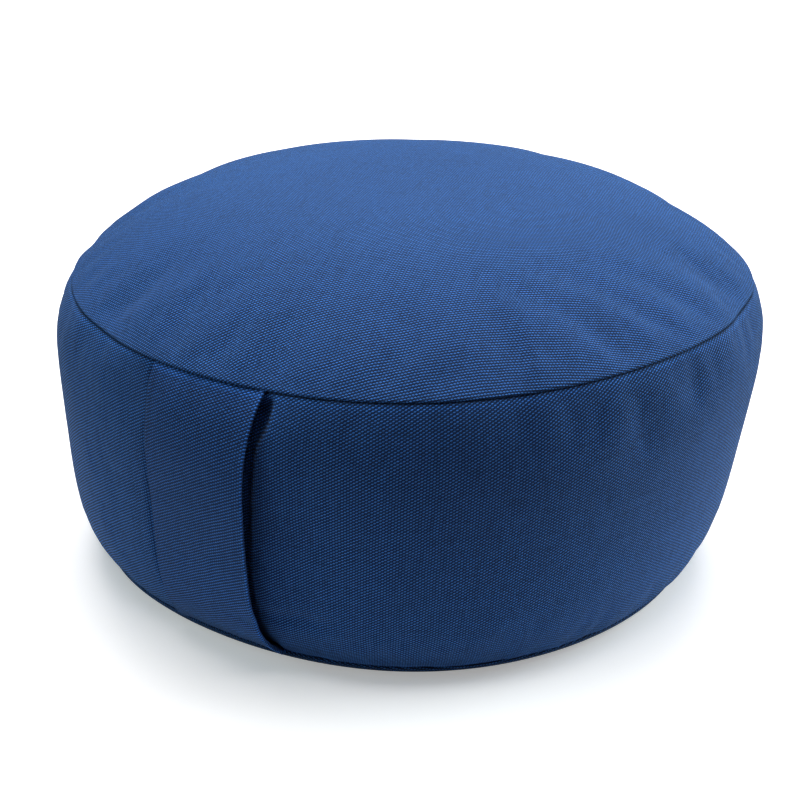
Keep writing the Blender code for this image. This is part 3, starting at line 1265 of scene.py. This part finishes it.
def cloth_tone_group() -> bpy.types.NodeTree:
    """Uneven tone of used cotton: slow clouds and fine lint, paler seam lips that are part wear and part
    painted highlight, and painted shade in the grooves.

    The seam mask is positive on worn lips, which also get painted highlight, and negative where painted shade
    goes, down in a groove.

    Returns:
        The group, with the outputs Tone and Lint.
    """
    number, vector = "NodeSocketFloat", "NodeSocketVector"
    cloud_scale, grain_scale, lint_scale = 9.0, 120.0, 900.0
    grain_share, lint_from, lint_full = 0.5, 0.55, 0.8
    tree = new_group(
        "cloth tone",
        {
            "Position": (vector, None),
            "Seam": (number, 0.0),
            "Clouds": (number, 0.30),
            "Rub And Highlight": (number, 0.12),
            "Groove Shade": (number, 0.85),
        },
        ("Tone", "Lint"),
    )
    sketch = Sketch(tree)
    given = sketch.node("NodeGroupInput").outputs
    result = sketch.node("NodeGroupOutput").inputs
    slow, quick, fine = (
        sketch.noise(given["Position"], scale, detail).outputs["Fac"]
        for scale, detail in ((cloud_scale, 3.0), (grain_scale, 3.0), (lint_scale, 2.0))
    )
    clouds = sketch.math("SUBTRACT", slow, 0.5)
    grain = sketch.math("MULTIPLY", sketch.math("SUBTRACT", quick, 0.5), grain_share)
    uneven = sketch.math("MULTIPLY_ADD", sketch.math("ADD", clouds, grain), given["Clouds"], 1.0)
    # Positive mask: paler lips, part wear and part painted highlight. Negative mask: painted shade.
    lip = sketch.math("MAXIMUM", given["Seam"], 0.0)
    groove = sketch.math("MULTIPLY", sketch.math("MINIMUM", given["Seam"], 0.0), given["Groove Shade"])
    worn_and_highlit = sketch.math("MULTIPLY", sketch.math("MULTIPLY", lip, quick), given["Rub And Highlight"])
    marked = sketch.math("ADD", sketch.math("ADD", worn_and_highlit, groove), 1.0)
    sketch.feed(result["Tone"], sketch.math("MULTIPLY", uneven, marked))
    sketch.feed(result["Lint"], sketch.ramp(fine, lint_from, lint_full, 0.0, 1.0))
    return tree


@dataclass(frozen=True)
class CanvasFinish:
    """Navy cotton canvas: its raised floats pale with painted highlight, painted shade on the picks and
    between threads, and its dull sheen.
    """

    name: str
    # The floats' colour, the thread's navy with painted highlight, and the colour of painted shade on the
    # picks and between threads.
    light: Colour = (0.044, 0.198, 0.640, 1.0)
    painted_thread_shade: Colour = (0.002, 0.008, 0.032, 1.0)
    lint: Colour = (0.07, 0.20, 0.45, 1.0)
    lint_share: float = 0.10
    # How much paler the seam lips and the handle's right rim turn: part wear, part painted highlight.
    rub_and_highlight: float = 1.1
    roughness: float = 0.86
    sheen: float = 0.12
    sheen_roughness: float = 0.45
    sheen_tint: Colour = (0.42, 0.58, 0.84, 1.0)
    specular: float = 0.18
    thread_relief: float = 0.00030
    bump_strength: float = 0.9
    end_pitch: float = 0.00126
    pick_pitch: float = 0.00076

    def material(self, weave: bpy.types.NodeTree, tone: bpy.types.NodeTree) -> bpy.types.Material:
        """Make the material.

        Args:
            weave: the weave's node group.
            tone: the cloth tone's node group.

        Returns:
            The material.
        """
        made = bpy.data.materials.new(self.name)
        made.use_nodes = True
        sketch = Sketch(made.node_tree)
        shader = made.node_tree.nodes["Principled BSDF"]
        cloth = sketch.node("ShaderNodeUVMap", uv_map=CLOTH_MAP).outputs[0]
        place = sketch.node("ShaderNodeTexCoord").outputs["Object"]
        seam = sketch.node("ShaderNodeAttribute", attribute_name=SEAM_WEAR_AND_PAINTED_LIGHT).outputs["Fac"]
        pitches = {"Cloth": cloth, "End Pitch": self.end_pitch, "Pick Pitch": self.pick_pitch}
        threads = sketch.node("ShaderNodeGroup", pitches, node_tree=weave).outputs
        marks = {"Position": place, "Seam": seam, "Rub And Highlight": self.rub_and_highlight}
        worn = sketch.node("ShaderNodeGroup", marks, node_tree=tone).outputs
        # Painted light of the weave: highlight on the floats over painted shade between threads.
        colour = sketch.blend(threads["Dots"], self.painted_thread_shade, self.light)
        # Times the cloth tone: random clouds, with the seams' wear, painted highlight and painted shade.
        shade = sketch.node("ShaderNodeCombineColor", dict.fromkeys(range(3), worn["Tone"])).outputs[0]
        colour = sketch.blend(1.0, colour, shade, "MULTIPLY")
        colour = sketch.blend(sketch.math("MULTIPLY", worn["Lint"], self.lint_share), colour, self.lint)
        relief = {"Height": threads["Height"], "Distance": self.thread_relief, "Strength": self.bump_strength}
        surface = {
            "Base Color": colour,
            "Normal": sketch.node("ShaderNodeBump", relief).outputs["Normal"],
            "Roughness": self.roughness,
            "Specular IOR Level": self.specular,
            "Sheen Weight": self.sheen,
            "Sheen Roughness": self.sheen_roughness,
            "Sheen Tint": self.sheen_tint,
        }
        for name, value in surface.items():
            sketch.feed(shader.inputs[name], value)
        return made


COVER_CANVAS = CanvasFinish("cover canvas")
# The handle's copy of the same canvas, with its float colour painted darker as shade, and paler edges that
# carry more painted highlight.
HANDLE_CANVAS_PAINTED_DARKER = CanvasFinish("handle canvas painted darker", light=(0.031, 0.153, 0.535, 1.0), rub_and_highlight=1.4)


@dataclass
class Softbox:
    """One square or oblong area light that points at a place."""

    name: str
    power: float
    size: tuple[float, float]
    place: tuple[float, float, float]
    tint: tuple[float, float, float] = (1.0, 1.0, 1.0)
    aim: tuple[float, float, float] = (0.0, 0.0, 0.08)

    def build(self) -> bpy.types.Object:
        """Add the light to the scene.

        Returns:
            The light's object.
        """
        light = bpy.data.lights.new(self.name, "AREA")
        light.shape = "RECTANGLE"
        light.energy = self.power
        light.color = self.tint
        light.size, light.size_y = self.size
        made = bpy.data.objects.new(self.name, light)
        made.location = self.place
        made.rotation_euler = (Vector(self.aim) - Vector(self.place)).to_track_quat("-Z", "Y").to_euler()
        bpy.context.scene.collection.objects.link(made)
        return made


@dataclass
class Studio:
    """A plain pale floor, soft light from above, behind and both sides, and the photograph's camera."""

    azimuth_deg: float = 32.5
    elevation_deg: float = 23.8
    distance: float = 0.912
    aim_height: float = 0.075
    lens: float = 80.8
    shift: tuple[float, float] = (0.0012, -0.0106)
    sensor: float = 36.0
    nearest: float = 0.01
    floor_size: float = 60.0
    floor_roughness: float = 0.9
    floor_colour: Colour = (0.94, 0.90, 0.90, 1.0)
    near_bounce: Colour = (0.95, 0.95, 0.95, 1.0)
    far_bounce: Colour = (0.05, 0.05, 0.05, 1.0)
    bounce_reach: tuple[float, float] = (0.20, 0.48)
    floor_glow: float = 0.34
    far_glow: float = 1.0
    glow_reach: tuple[float, float] = (0.6, 2.2)
    backdrop: Colour = (1.0, 1.0, 1.0, 1.0)
    fill: Colour = (0.03, 0.032, 0.036, 1.0)
    lights: list[Softbox] = field(default_factory=list)

    def direction(self, turn_deg: float, rise_deg: float) -> Vector:
        """The unit vector from the cushion towards a place, turned from the camera's side.

        Args:
            turn_deg: angle from the camera's azimuth.
            rise_deg: angle over the level.

        Returns:
            The vector.
        """
        turn = math.radians(self.azimuth_deg + turn_deg)
        rise = math.radians(rise_deg)
        return Vector((math.sin(turn) * math.cos(rise), -math.cos(turn) * math.cos(rise), math.sin(rise)))

    def place(self, turn_deg: float, rise_deg: float, distance: float) -> tuple[float, float, float]:
        """A place at an angle from the camera's side, over the level, and at a distance."""
        return tuple(self.direction(turn_deg, rise_deg) * distance)

    def build_lights(self) -> None:
        """Hang the softboxes: a big one overhead and behind, and one at each side towards the back."""
        self.lights = [
            Softbox("overhead", 27.7, (1.6, 1.6), self.place(180.0, 88.0, 1.6)),
            Softbox("behind", 24.0, (1.6, 1.0), self.place(180.0, 55.0, 1.7)),
            Softbox("right", 18.5, (0.9, 1.2), self.place(100.0, 20.0, 1.4), (0.86, 1.0, 1.0)),
            Softbox("left", 6.8, (0.9, 1.2), self.place(-80.0, 20.0, 1.4), (0.70, 1.0, 0.98)),
        ]
        for light in self.lights:
            light.build()
        world = bpy.data.worlds.new("studio")
        world.use_nodes = True
        sketch = Sketch(world.node_tree)
        seen = sketch.node("ShaderNodeLightPath").outputs["Is Camera Ray"]
        colour = sketch.blend(seen, self.fill, self.backdrop)
        sketch.feed(world.node_tree.nodes["Background"].inputs["Color"], colour)
        bpy.context.scene.world = world

    def build_floor(self) -> bpy.types.Object:
        """Lay the pale floor.

        Returns:
            The floor's object.
        """
        half = 0.5 * self.floor_size
        mesh = bpy.data.meshes.new("floor")
        corners = [(-half, -half, 0.0), (half, -half, 0.0), (half, half, 0.0), (-half, half, 0.0)]
        mesh.from_pydata(corners, [], [(0, 1, 2, 3)])
        material = bpy.data.materials.new("pale floor")
        material.use_nodes = True
        sketch = Sketch(material.node_tree)
        shader = material.node_tree.nodes["Principled BSDF"]
        seen = sketch.node("ShaderNodeLightPath").outputs["Is Camera Ray"]
        place = sketch.node("ShaderNodeTexCoord").outputs["Object"]
        away = sketch.node("ShaderNodeVectorMath", {0: place}, operation="LENGTH").outputs["Value"]
        far = sketch.ramp(away, *self.bounce_reach, 0.0, 1.0)
        bounce = sketch.blend(far, self.near_bounce, self.far_bounce)
        sketch.feed(shader.inputs["Base Color"], sketch.blend(seen, bounce, self.floor_colour))
        shader.inputs["Emission Color"].default_value = self.backdrop
        glow = sketch.ramp(away, *self.glow_reach, self.floor_glow, self.far_glow)
        sketch.feed(shader.inputs["Emission Strength"], sketch.math("MULTIPLY", seen, glow))
        shader.inputs["Roughness"].default_value = self.floor_roughness
        mesh.materials.append(material)
        floor = bpy.data.objects.new("floor", mesh)
        bpy.context.scene.collection.objects.link(floor)
        return floor

    def build_camera(self) -> bpy.types.Object:
        """Set up the camera at the photograph's angle.

        Returns:
            The camera's object.
        """
        lens = bpy.data.cameras.new("camera")
        lens.lens = self.lens
        lens.sensor_width = self.sensor
        lens.shift_x, lens.shift_y = self.shift
        lens.clip_start = self.nearest
        camera = bpy.data.objects.new("camera", lens)
        back = self.direction(0.0, self.elevation_deg)
        camera.location = Vector((0.0, 0.0, self.aim_height)) + back * self.distance
        camera.rotation_euler = (-back).to_track_quat("-Z", "Y").to_euler()
        bpy.context.scene.collection.objects.link(camera)
        bpy.context.scene.camera = camera
        return camera

    def build(self) -> None:
        """Put up the floor, the lights and the camera, with plain colour handling."""
        self.build_floor()
        self.build_lights()
        self.build_camera()
        bpy.context.scene.view_settings.view_transform = "Standard"


def main() -> None:
    """Build the cushion's pieces in order, then the studio."""
    logging.basicConfig(level=logging.INFO, format="%(name)s: %(message)s")
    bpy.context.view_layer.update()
    form = CushionForm()
    weave, tone = plain_weave_group(), cloth_tone_group()
    cover = Cover(form)
    cover_object = cover.build()
    moved = cover.settle(cover_object, FillingPressure())
    LOG.info("cover: the filling's pressure moved it by up to %.4f m", moved)
    cover.dress(cover_object, COVER_CANVAS.material(weave, tone))
    LOG.info("cover: %d faces", len(cover_object.data.polygons))
    handle = CarryHandle(form)
    handle_object = handle.build()
    handle.dress(handle_object, HANDLE_CANVAS_PAINTED_DARKER.material(weave, tone))
    LOG.info("handle: %d faces", len(handle_object.data.polygons))
    Studio().build()


if __name__ == "__main__":
    main()
